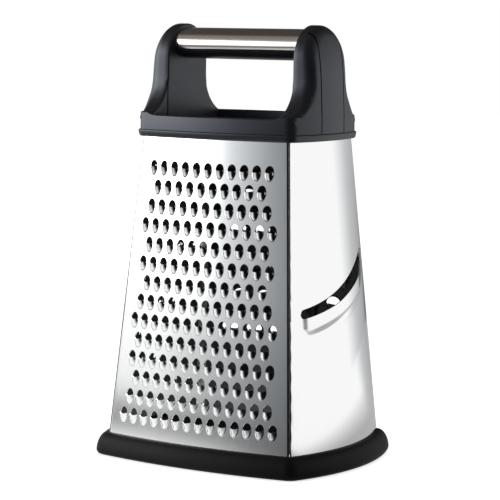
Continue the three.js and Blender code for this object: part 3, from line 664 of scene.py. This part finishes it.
def footRing():
    section = []
    for k in range(foot["rollSteps"] + 1):
        turn = k / foot["rollSteps"] * math.pi / 2
        across = foot["reach"] - foot["roll"] * (1 - math.sin(turn))
        section.append((across, foot["roll"] * (1 - math.cos(turn))))
    for k in range(1, foot["crownSteps"] + 1):
        turn = k / foot["crownSteps"] * math.pi / 2
        across = foot["lip"] + (foot["reach"] - foot["lip"]) * math.cos(turn)
        section.append((across, foot["roll"] + (body["footTop"] - foot["roll"]) * math.sin(turn)))
    seat = body["steelBottom"] - foot["clearance"]
    inner, innermost = -body["sheet"] - foot["clearance"], -foot["innerWall"]
    section += [(foot["clearance"], body["footTop"]), (foot["clearance"], seat), (inner, seat)]
    section += [(inner, foot["innerHeight"]), (innermost, foot["innerHeight"]), (innermost, 0)]
    loops = []
    for offset, z in section:
        loops.append(outline(planAt(z), offset, z, foot["innerFillet"] + foot["fillet"] * max(offset, 0)))
    bm = bmesh.new()
    skinLoops(bm, loops, True)
    bmesh.ops.recalc_face_normals(bm, faces=bm.faces)
    return addPiece("rubber_foot", bm, rubberBlack, ["foot_ring"], 35)


footRing()


# Cap: flange, wall and tray, with a cheek at each end

cap = {
    "halfWidth": 48.2, "sideRise": 5.2, "bottom": 177.0, "flangeTop": 181.0,
    "flange": 2.5, "flangeFoot": 1.7, "wall": 1.3, "rim": 189.6, "rimTilt": 0.015, "rimWall": 3.0,
    "deck": 182.6, "underside": 179.6, "seat": 0.3,
    "flangeRound": 1.0, "rimRound": 0.8, "fillet": 4.2, "seatFillet": 1.0,
    "block": 1.5, "blockFrom": (39.4, 41.6),  # the front rim steps up at its ends, under the cheeks
}
capPlan = dict(planAt(cap["bottom"]), halfWidth=cap["halfWidth"], sideRise=cap["sideRise"])


def capBody(bm):
    section = [
        (cap["seat"], cap["underside"]), (cap["seat"], cap["bottom"]), (cap["flangeFoot"], cap["bottom"]),
        (cap["flange"], cap["flangeTop"]), (cap["wall"], cap["flangeTop"]), (cap["wall"], cap["rim"]),
        (cap["wall"] - cap["rimWall"], cap["rim"]), (cap["wall"] - cap["rimWall"], cap["deck"]),
    ]
    loops = [outline(planAt(cap["bottom"]), offset, z, cap["seatFillet"]) for offset, z in section[:2]]
    loops += [outline(capPlan, offset, z, cap["fillet"]) for offset, z in section[2:]]
    for loop in loops[5:7]:
        for point in loop:
            near, far = cap["blockFrom"]
            point.z += cap["rimTilt"] * point.y
            if point.y < 0:
                point.z += cap["block"] * smoothStep((abs(point.x) - near) / (far - near))
    rows = skinLoops(bm, loops)
    bmesh.ops.edgeloop_fill(bm, edges=rows[0])
    bmesh.ops.edgeloop_fill(bm, edges=rows[-1])
    for pair, size in ((rows[2:4], cap["flangeRound"]), (rows[5:7], cap["rimRound"])):
        bmesh.ops.bevel(
            bm, geom=pair[0] + pair[1], offset=size, offset_type="OFFSET", affect="EDGES", segments=4,
            profile=0.5, material=-1)
    bmesh.ops.recalc_face_normals(bm, faces=bm.faces)


cheek = {
    "inner": 40.0, "halfWidth": 19.3, "top": 239.0, "flare": 23.0, "flareTop": 211.2, "foot": 189.5,
    "ledge": 189.3, "sink": 0.5, "footHalf": 35.3,
    "footIn": 0.25,  # the foot stands this far inside the cap's wall
    "outer": 53.5, "edge": 5.0, "edgeReach": 6.6,  # the rounded edge drops and runs back this far
    "snug": 0.42, "snugRise": 16.0,  # the edge is tighter by this share at the foot, and full this far up
    "innerEdge": 0.9, "lean": 0.045, "crown": 3.6, "crownFrom": 210.0, "proud": 0.3,
    "gusset": 0.4, "gussetEdge": 0.25, "strip": 0.2,  # a narrow strip where the gusset starts
    "archSteps": 20, "flareSteps": 12, "edgeSteps": 7,
    "cover": 12.0, "coverGap": 0.9, "coverDepth": 2.5, "coverLedge": 4.3, "seamEdge": 0.25,
    "cutsAcross": (4.0, 8.0, 16.0, 24.0, 29.0),  # extra cuts, so that the faces can bow
    "cutsUp": (198.0, 206.0, 210.0, 215.0, 220.0, 225.0, 229.0, 232.0),
}


# Half of the cheek's outline from its foot to the top of its arch, as (y, z)
def cheekOutline():
    centre = cheek["top"] - cheek["halfWidth"]
    points = [(cheek["footHalf"], cap["flangeTop"] - cheek["sink"]), (cheek["footHalf"], cheek["ledge"])]
    sweep = math.asin((cheek["flareTop"] - cheek["foot"]) / cheek["flare"])
    for k in range(cheek["flareSteps"] + 1):
        turn = sweep * (1 - k / cheek["flareSteps"])
        points.append((
            cheek["halfWidth"] + cheek["flare"] * (1 - math.cos(turn)),
            cheek["flareTop"] - cheek["flare"] * math.sin(turn)))
    for k in range(cheek["archSteps"] + 1):
        turn = k / cheek["archSteps"] * math.pi / 2
        points.append((cheek["halfWidth"] * math.cos(turn), centre + cheek["halfWidth"] * math.sin(turn)))
    return points


# Front end of a cheek's foot, just inside the cap's front wall
def frontWallY(x):
    radius, halfAngle, centre = wallArc(capPlan, False)
    radius += cap["wall"] - cheek["footIn"]
    return centre + math.sqrt(radius ** 2 - x ** 2)


# Outer face of a cheek: flush with the cap's side, leaning in above the rim and crowned at the top
def cheekFaceX(y, z):
    radius, halfAngle, centre = wallArc(capPlan, True)
    radius += cap["wall"] + cheek["proud"]
    over = max((z - cheek["crownFrom"]) / (cheek["top"] - cheek["crownFrom"]), 0)
    lean = cheek["lean"] * max(z - cap["rim"], 0) + cheek["crown"] * over ** 2
    return centre + math.sqrt(radius ** 2 - y ** 2) - lean


# How far a point lies from the inner face to the outer one, with the rounded edge drawn back along the side
def alongCheek(x, snug):
    thick, edge = cheek["outer"] - cheek["inner"], cheek["edge"]
    reach = cheek["edgeReach"] * (1 - snug)
    depth = cheek["outer"] - x
    if depth < edge:
        return 1 - depth * reach / edge / thick
    return 1 - (reach + (depth - edge) * (thick - reach) / (thick - edge)) / thick


# The way back out to the outline for a point that the rounded edge drew in, as (y, z)
def edgeOut(x, y, z):
    edge = cheek["edge"]
    near = min(max(edge - cheek["outer"] + x, 0), edge)
    inset = edge - math.sqrt(edge ** 2 - near ** 2)
    toHub = Vector((cheek["halfWidth"] + cheek["flare"] - abs(y), cheek["flareTop"] - z))
    if abs(y) < cheek["halfWidth"] or z > cheek["flareTop"]:
        return Vector((0, 0))
    if toHub.length > cheek["flare"] + inset + cheek["strip"]:
        return Vector((math.copysign(inset, y), 0))
    toHub.normalize()
    return Vector((math.copysign(toHub.x, y), toHub.y)) * inset


# The right cheek: its outline drawn out, edges rounded, cut into strips and then bowed to the cap's side
def cheekSolid():
    half = cheekOutline()
    points = half + [(-y, z) for y, z in reversed(half[:-1])]
    bm = bmesh.new()
    verts = [bm.verts.new((cheek["inner"], y, z)) for y, z in points]
    face = bm.faces.new(verts)
    far = vertsOf(bmesh.ops.extrude_face_region(bm, geom=[face])["geom"])
    bmesh.ops.translate(bm, verts=far, vec=(cheek["outer"] - cheek["inner"], 0, 0))
    bmesh.ops.recalc_face_normals(bm, faces=bm.faces)
    onLoop = lambda edge, x, low: all(abs(v.co.x - x) < 1e-4 and v.co.z > low for v in edge.verts)
    anyLow, ledgeLow = cap["bottom"], cheek["ledge"] - 1e-3
    outerLoop = [edge for edge in bm.edges if onLoop(edge, cheek["outer"], anyLow)]
    outerLoop = [edge for edge in outerLoop if max(v.co.z for v in edge.verts) > cap["flangeTop"]]
    bmesh.ops.bevel(
        bm, geom=outerLoop, offset=cheek["edge"], offset_type="OFFSET", affect="EDGES",
        segments=cheek["edgeSteps"], profile=0.5, material=-1, clamp_overlap=False)
    innerLoop = [edge for edge in bm.edges if onLoop(edge, cheek["inner"], ledgeLow)]
    bmesh.ops.bevel(
        bm, geom=innerLoop, offset=cheek["innerEdge"], offset_type="OFFSET", affect="EDGES", segments=3,
        profile=0.5, material=-1, clamp_overlap=False)
    gap, side = cheek["coverGap"] / 2, cheek["halfWidth"]
    lines = cheek["cutsAcross"] + (cheek["cover"] - gap, cheek["cover"] + gap, side, side + cheek["strip"])
    cuts = [((0, 0, 0), (0, 1, 0))]
    for y in sorted(lines):
        cuts += [((0, y, 0), (0, 1, 0)), ((0, -y, 0), (0, 1, 0))]
    cuts += [((cheek["inner"] + cheek["coverLedge"], 0, 0), (1, 0, 0))]
    cuts += [((0, 0, z), (0, 0, 1)) for z in (cap["rim"],) + cheek["cutsUp"]]
    for place, normal in cuts:
        bmesh.ops.bisect_plane(bm, geom=whole(bm), dist=1e-4, plane_co=place, plane_no=normal)
    for vert in bm.verts:
        x, y, z = vert.co
        snug = cheek["snug"] * (1 - smoothStep((z - cap["rim"]) / cheek["snugRise"]))
        along = alongCheek(x, snug)
        outY, outZ = edgeOut(x, y, z) * snug
        y, z = y + outY, z + outZ
        newX = cheek["inner"] + along * (cheekFaceX(y, z) - cheek["inner"])
        beyond = (abs(y) - cheek["halfWidth"]) / (cheek["footHalf"] - cheek["halfWidth"])
        newY = y
        if beyond > 0:
            newY = math.copysign(cheek["halfWidth"] + beyond * (frontWallY(newX) - cheek["halfWidth"]), y)
        if abs(y) > cheek["halfWidth"] + cheek["strip"] / 2:
            newX += cheek["gusset"] * max(1 - along / cheek["gussetEdge"], 0)
        vert.co = (newX, newY, z)
    return bm


def coverFaces(bm, halfWidth):
    found = []
    for face in bm.faces:
        middle = face.calc_center_median()
        isOuter = middle.x > cheek["inner"] + cheek["coverLedge"] and middle.z > cap["flangeTop"]
        if isOuter and abs(middle.y) < halfWidth:
            found.append(face)
    return found


def cheekCover(name, node, degrees):
    bm = cheekSolid()
    kept = set(coverFaces(bm, cheek["cover"] - cheek["coverGap"] / 2))
    bmesh.ops.delete(bm, geom=[face for face in bm.faces if face not in kept], context="FACES")
    bmesh.ops.solidify(bm, geom=bm.faces[:], thickness=cheek["coverDepth"])
    turned(bm, degrees)
    piece = addPiece(name, bm, plasticBlack, [node], 40)
    bevel = piece.modifiers.new("seam edge", "BEVEL")
    bevel.width = cheek["seamEdge"] * mm
    bevel.segments = 2
    bevel.limit_method = "ANGLE"
    bevel.angle_limit = math.radians(60)
    return piece


def handleCap():
    bm = bmesh.new()
    capBody(bm)
    for degrees in (0, 180):
        side = cheekSolid()
        pocket = coverFaces(side, cheek["cover"] + cheek["coverGap"] / 2)
        made = bmesh.ops.extrude_face_region(side, geom=pocket)["geom"]
        bmesh.ops.delete(side, geom=pocket, context="FACES_ONLY")
        for vert in vertsOf(made):
            vert.co -= vert.normal * (cheek["coverDepth"] + cheek["coverGap"])
        turned(side, degrees)
        mesh = meshFrom("cheek", side)
        bm.from_mesh(mesh)
        bpy.data.meshes.remove(mesh)
    return addPiece("moulded_cap", bm, plasticBlack, ["handle_cap"], 40)


handleCap()
cheekCover("right_cover_strip", "right_cheek_cover", 0)
cheekCover("left_cover_strip", "left_cheek_cover", 180)


# Grip: a steel sleeve folded over a moulded core

grip = {
    "depth": 27.0, "height": 17.2, "centre": 228.2, "half": 42.0, "sleeve": 0.8, "split": 225.2,
    "coreInset": 0.05, "coreWall": 2.0, "coreGap": 0.3,  # the core starts this far below the sleeve's edge
    "segments": 96,
}


# Oval tube along X, from the verts of a circle
def ovalTube(inset):
    bm = bmesh.new()
    circle = bmesh.ops.create_circle(bm, cap_ends=False, segments=grip["segments"], radius=1.0)["verts"]
    for vert in circle:
        y = vert.co.x * (grip["depth"] / 2 - inset)
        z = vert.co.y * (grip["height"] / 2 - inset) + grip["centre"]
        vert.co = (-grip["half"], y, z)
    far = vertsOf(bmesh.ops.extrude_edge_only(bm, edges=bm.edges[:])["geom"])
    bmesh.ops.translate(bm, verts=far, vec=(2 * grip["half"], 0, 0))
    return bm


def gripSleeve():
    bm = ovalTube(0)
    bmesh.ops.bisect_plane(
        bm, geom=whole(bm), dist=1e-4, plane_co=(0, 0, grip["split"]), plane_no=(0, 0, -1), clear_outer=True)
    facing(bm, Vector((0, 0, 1)))
    bmesh.ops.solidify(bm, geom=bm.faces[:], thickness=grip["sleeve"])
    return addPiece("steel_grip_sleeve", bm, steelTube, ["grip_sleeve"], 50)


def gripCore():
    bm = ovalTube(grip["coreInset"])
    bmesh.ops.bisect_plane(
        bm, geom=whole(bm), dist=1e-4, plane_co=(0, 0, grip["split"] - grip["coreGap"]),
        plane_no=(0, 0, 1), clear_outer=True)
    facing(bm, Vector((0, 0, -1)))
    bmesh.ops.solidify(bm, geom=bm.faces[:], thickness=grip["coreWall"])
    return addPiece("moulded_grip_core", bm, plasticBlack, ["grip_core"], 50)


gripSleeve()
gripCore()


# Hidden fixings keep their solids and get their finish

for name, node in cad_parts.items():
    finish = steelZinc if "screw" in name else plasticBlack if name == "clamp_frame" else None
    if finish:
        node.data.materials.clear()
        node.data.materials.append(finish)
print("fixings dressed")


# Camera, from the photograph's perspective

camera = {
    "azimuth": 31.846, "elevation": 6.232, "roll": 0.7255, "distance": 1176.3, "lens": 152.03,
    "targetHeight": 113.95, "targetRight": 2.17,
}


# Direction out from the object, by degrees from -Y towards +X and above the table
def outwards(azimuth, elevation):
    turn, rise = math.radians(azimuth), math.radians(elevation)
    return Vector((math.sin(turn) * math.cos(rise), -math.cos(turn) * math.cos(rise), math.sin(rise)))


def addCamera():
    back = outwards(camera["azimuth"], camera["elevation"])
    right = outwards(camera["azimuth"] + 90, 0)
    roll = math.radians(camera["roll"])
    up = back.cross(right)
    target = Vector((0, 0, camera["targetHeight"])) + right * camera["targetRight"]
    data = bpy.data.cameras.new("camera")
    data.lens = camera["lens"]
    eye = addObject("camera", data)
    level = right * math.cos(roll) + up * math.sin(roll)
    upright = up * math.cos(roll) - right * math.sin(roll)
    place = Matrix((level, upright, back)).transposed().to_4x4()
    place.translation = (target + back * camera["distance"]) * mm
    eye.matrix_world = place
    bpy.context.scene.camera = eye


# Studio: pale floor, white surround, a soft lamp on each side and the dim room that the metal reflects

studio = {
    "floorSize": 4.0, "floorDrop": 0.0002, "floorColour": "e8e8e8", "floorGlow": 0.62, "fill": 0.55,
    "roomRadius": 0.65, "roomHeight": 2.0, "tableHeight": 0.001,
    "tableEdge": (0.062, 0.095), "farTable": (0.2, 0.42),
    # tones of the room's wall and of the table near the object and away from it
    # by degrees from -Y towards +X
    "wallTones": (
        (-180, "a2a3a4"), (-170, "868788"), (-162, "2c2d2e"), (-150, "2c2d2e"), (-140, "f4f4f4"),
        (-36, "ffffff"), (-23, "e0e3e5"), (-15, "bcc0c3"), (-8, "9da0a3"), (-4, "909396"), (8, "808487"),
        (13, "606366"), (17, "0a0a0b"), (88, "0a0a0b"), (100, "ffffff"), (150, "ffffff"), (164, "c4c6c8"),
        (180, "a2a3a4")),
    # on the right and behind, the table near the object is greyer than farther out: painted shade of the
    # object on the table, seen only in reflections
    "nearTones": (
        (-180, "b8b8b8"), (-140, "ffffff"), (-20, "ffffff"), (0, "b8b8b8"), (14, "606060"), (28, "0a0a0b"),
        (84, "0a0a0b"), (98, "a8a8a8"), (180, "b8b8b8")),
    "farTones": (
        (-180, "acadae"), (-128, "f4f4f4"), (-90, "f4f4f4"), (-60, "545454"), (-20, "545454"),
        (10, "484849"), (22, "0a0a0b"), (84, "0a0a0b"), (96, "ffffff"), (158, "ffffff"), (168, "c4c6c8"),
        (180, "acadae")),
    # the softbox in the room's wall: its middle, half width without and with its soft edge, strength, foot
    # and the strength of the wall under it
    "spotTurn": -58, "spotHalf": (14, 36), "spotGlow": 2.8, "spotFoot": (0.085, 0.14), "underSpot": 0.9,
    "lowWall": (0.03, 0.14), "lowGlow": 0.58, "lowUntil": 80,  # the wall is dimmer below, up to this turn
    # degrees above the table where the ceiling starts, and how much lower that is away from the softbox
    "ceilingTone": "45413f", "ceilingRise": (33, 46), "ceilingDrop": 11, "dropFrom": (30, 80),
    # name, turn, degrees above the table, distance and size in metres, watts
    "lamps": (
        ("key softbox", -53.0, 14.0, 1.6, (0.9, 1.3), 15.0),
        ("side softbox", 118.0, 30.0, 1.7, (0.9, 0.9), 6.0),
    ),
    "lampAim": 0.1,  # height of the point that the lamps face
}


# 1 for a ray that ends in the picture: straight from the camera, mirrored or passed through
def seenDirectly(tree):
    path = addNode(tree, "ShaderNodeLightPath")
    seen = addNode(
        tree, "ShaderNodeMath", {}, {0: path.outputs["Is Camera Ray"], 1: path.outputs["Is Glossy Ray"]},
        operation="MAXIMUM")
    passed = addNode(
        tree, "ShaderNodeMath", {}, {0: seen.outputs[0], 1: path.outputs["Is Transmission Ray"]},
        operation="MAXIMUM")
    return passed.outputs[0]


def addFloor():
    bm = bmesh.new()
    bmesh.ops.create_grid(bm, x_segments=1, y_segments=1, size=studio["floorSize"])
    mesh = meshFrom("floor", bm)
    floor = addObject("floor", mesh)
    floor.location.z = -studio["floorDrop"]
    material = bpy.data.materials.new("pale floor")
    material.use_nodes = True
    tree = material.node_tree
    shader = tree.nodes["Principled BSDF"]
    shader.inputs["Base Color"].default_value = linear(studio["floorColour"])
    shader.inputs["Roughness"].default_value = 0.9
    shader.inputs["Specular IOR Level"].default_value = 0.0
    glow = addNode(tree, "ShaderNodeEmission", {"Color": (1, 1, 1, 1), "Strength": studio["floorGlow"]})
    both = addNode(tree, "ShaderNodeAddShader", {}, {0: shader.outputs[0], 1: glow.outputs[0]})
    mixed = addNode(
        tree, "ShaderNodeMixShader", {},
        {0: seenDirectly(tree), 1: shader.outputs[0], 2: both.outputs[0]})
    tree.links.new(mixed.outputs[0], tree.nodes["Material Output"].inputs["Surface"])
    mesh.materials.append(material)


# Inside of a round dim room, from the table's edge to the ceiling, seen only in the metal and the gloss
def addRoom():
    radius, height, low = studio["roomRadius"], studio["roomHeight"], studio["tableHeight"]
    profile = [(studio["tableEdge"][0], low), (radius, low), (radius, height), (0.01, height)]
    bm = bmesh.new()
    verts = [bm.verts.new((x, 0, z)) for x, z in profile]
    edges = [bm.edges.new(pair) for pair in zip(verts, verts[1:])]
    bmesh.ops.spin(
        bm, geom=verts + edges, cent=(0, 0, 0), axis=(0, 0, 1), angle=2 * math.pi, steps=96, use_merge=True)
    mesh = meshFrom("room", bm)
    room = addObject("room", mesh)
    material = bpy.data.materials.new("dim studio room")
    material.use_nodes = True
    tree = material.node_tree
    place = addNode(tree, "ShaderNodeTexCoord").outputs["Object"]
    parts = addNode(tree, "ShaderNodeSeparateXYZ", {}, {"Vector": place})
    forward = addNode(tree, "ShaderNodeMath", {1: -1.0}, {0: parts.outputs["Y"]}, operation="MULTIPLY")
    turn = addNode(
        tree, "ShaderNodeMath", {}, {0: parts.outputs["X"], 1: forward.outputs[0]}, operation="ARCTAN2")
    share = addNode(
        tree, "ShaderNodeMapRange", {"From Min": -math.pi, "From Max": math.pi}, {"Value": turn.outputs[0]})
    tones = {}
    for key in ("wallTones", "nearTones", "farTones"):
        ramp = addNode(tree, "ShaderNodeValToRGB", {}, {"Fac": share.outputs["Result"]})
        stops = ramp.color_ramp.elements
        while len(stops) < len(studio[key]):
            stops.new(0.5)
        for stop, (degrees, colour) in zip(stops, studio[key]):
            stop.position = degrees / 360 + 0.5
            stop.color = linear(colour)
        tones[key] = ramp.outputs["Color"]
    flat = addNode(tree, "ShaderNodeVectorMath", {1: (1, 1, 0)}, {0: place}, operation="MULTIPLY")
    reach = addNode(tree, "ShaderNodeVectorMath", {}, {0: flat.outputs["Vector"]}, operation="LENGTH")
    rise = addNode(
        tree, "ShaderNodeMath", {}, {0: parts.outputs["Z"], 1: reach.outputs["Value"]}, operation="ARCTAN2")
    aside = addNode(
        tree, "ShaderNodeMath", {1: math.radians(studio["spotTurn"])}, {0: turn.outputs[0]},
        operation="SUBTRACT")
    away = addNode(tree, "ShaderNodeMath", {}, {0: aside.outputs[0]}, operation="ABSOLUTE")
    radians = lambda pair: [math.radians(degrees) for degrees in pair]
    soft, even = "SMOOTHSTEP", "LINEAR"
    # what each blend follows, where it starts and ends, its values there and its kind
    blends = {
        "drop": (away.outputs[0], radians(studio["dropFrom"]), radians((0, studio["ceilingDrop"])), soft),
        "spot": (away.outputs[0], radians(studio["spotHalf"]), (studio["spotGlow"], 0.0), soft),
        "spotUp": (parts.outputs["Z"], studio["spotFoot"], (0.0, 1.0), soft),
        "lift": (parts.outputs["Z"], studio["lowWall"], (studio["lowGlow"], 1.0), soft),
        "far": (reach.outputs["Value"], studio["farTable"], (0.0, 1.0), even),
        "edge": (reach.outputs["Value"], studio["tableEdge"], (0.0, 1.0), even),
    }
    blend = {}
    for key, (source, ends, values, kind) in blends.items():
        span = addNode(
            tree, "ShaderNodeMapRange",
            {"From Min": ends[0], "From Max": ends[1], "To Min": values[0], "To Max": values[1]},
            {"Value": source}, interpolation_type=kind)
        blend[key] = span.outputs["Result"]
    raised = addNode(tree, "ShaderNodeMath", {}, {0: rise.outputs[0], 1: blend["drop"]}, operation="ADD")
    ceilingStart, ceilingFull = radians(studio["ceilingRise"])
    over = addNode(
        tree, "ShaderNodeMapRange", {"From Min": ceilingStart, "From Max": ceilingFull},
        {"Value": raised.outputs[0]}, interpolation_type=soft)
    onTable = addNode(tree, "ShaderNodeMath", {1: 0.01}, {0: parts.outputs["Z"]}, operation="LESS_THAN")
    table = addNode(
        tree, "ShaderNodeMix", {},
        {"Factor": blend["far"], "A": tones["nearTones"], "B": tones["farTones"]}, data_type="RGBA")
    around = addNode(
        tree, "ShaderNodeMix", {},
        {"Factor": onTable.outputs[0], "A": tones["wallTones"], "B": table.outputs["Result"]},
        data_type="RGBA")
    tone = addNode(
        tree, "ShaderNodeMix", {"B": linear(studio["ceilingTone"])},
        {"Factor": over.outputs["Result"], "A": around.outputs["Result"]}, data_type="RGBA")
    past = addNode(
        tree, "ShaderNodeMath", {1: math.radians(studio["lowUntil"])}, {0: turn.outputs[0]},
        operation="GREATER_THAN")
    under = addNode(
        tree, "ShaderNodeMath", {1: studio["underSpot"] / studio["spotGlow"]}, {0: blend["spot"]},
        operation="MULTIPLY")
    undimmed = addNode(
        tree, "ShaderNodeMath", {}, {0: past.outputs[0], 1: under.outputs[0]}, operation="MAXIMUM")
    plain = addNode(
        tree, "ShaderNodeMath", {}, {0: blend["lift"], 1: undimmed.outputs[0]}, operation="MAXIMUM")
    wallGlow = addNode(
        tree, "ShaderNodeMath", {}, {0: blend["spot"], 1: blend["spotUp"], 2: plain.outputs[0]},
        operation="MULTIPLY_ADD")
    strength = addNode(
        tree, "ShaderNodeMix", {"B": 1.0}, {"Factor": onTable.outputs[0], "A": wallGlow.outputs[0]})
    glow = addNode(
        tree, "ShaderNodeEmission", {},
        {"Color": tone.outputs["Result"], "Strength": strength.outputs["Result"]})
    clear = addNode(tree, "ShaderNodeBsdfTransparent")
    mixed = addNode(
        tree, "ShaderNodeMixShader", {}, {0: blend["edge"], 1: clear.outputs[0], 2: glow.outputs[0]})
    tree.links.new(mixed.outputs[0], tree.nodes["Material Output"].inputs["Surface"])
    mesh.materials.append(material)
    room.visible_camera = False
    room.visible_diffuse = False
    room.visible_shadow = False


def addWorld():
    world = bpy.data.worlds.new("studio")
    bpy.context.scene.world = world
    world.use_nodes = True
    tree = world.node_tree
    plain = addNode(tree, "ShaderNodeBackground", {"Color": (1, 1, 1, 1), "Strength": studio["fill"]})
    white = addNode(tree, "ShaderNodeBackground", {"Color": (1, 1, 1, 1), "Strength": 1.0})
    mixed = addNode(
        tree, "ShaderNodeMixShader", {}, {0: seenDirectly(tree), 1: plain.outputs[0], 2: white.outputs[0]})
    tree.links.new(mixed.outputs[0], tree.nodes["World Output"].inputs["Surface"])


def addLamps():
    for name, azimuth, elevation, distance, size, power in studio["lamps"]:
        data = bpy.data.lights.new(name, "AREA")
        data.shape = "RECTANGLE"
        data.size, data.size_y = size
        data.energy = power
        lamp = addObject(name, data)
        back = outwards(azimuth, elevation)
        lamp.location = Vector((0, 0, studio["lampAim"])) + back * distance
        lamp.rotation_euler = back.to_track_quat("Z", "Y").to_euler()


addCamera()
addFloor()
addRoom()
addWorld()
addLamps()
bpy.context.scene.view_settings.view_transform = "Standard"
print("studio ready")
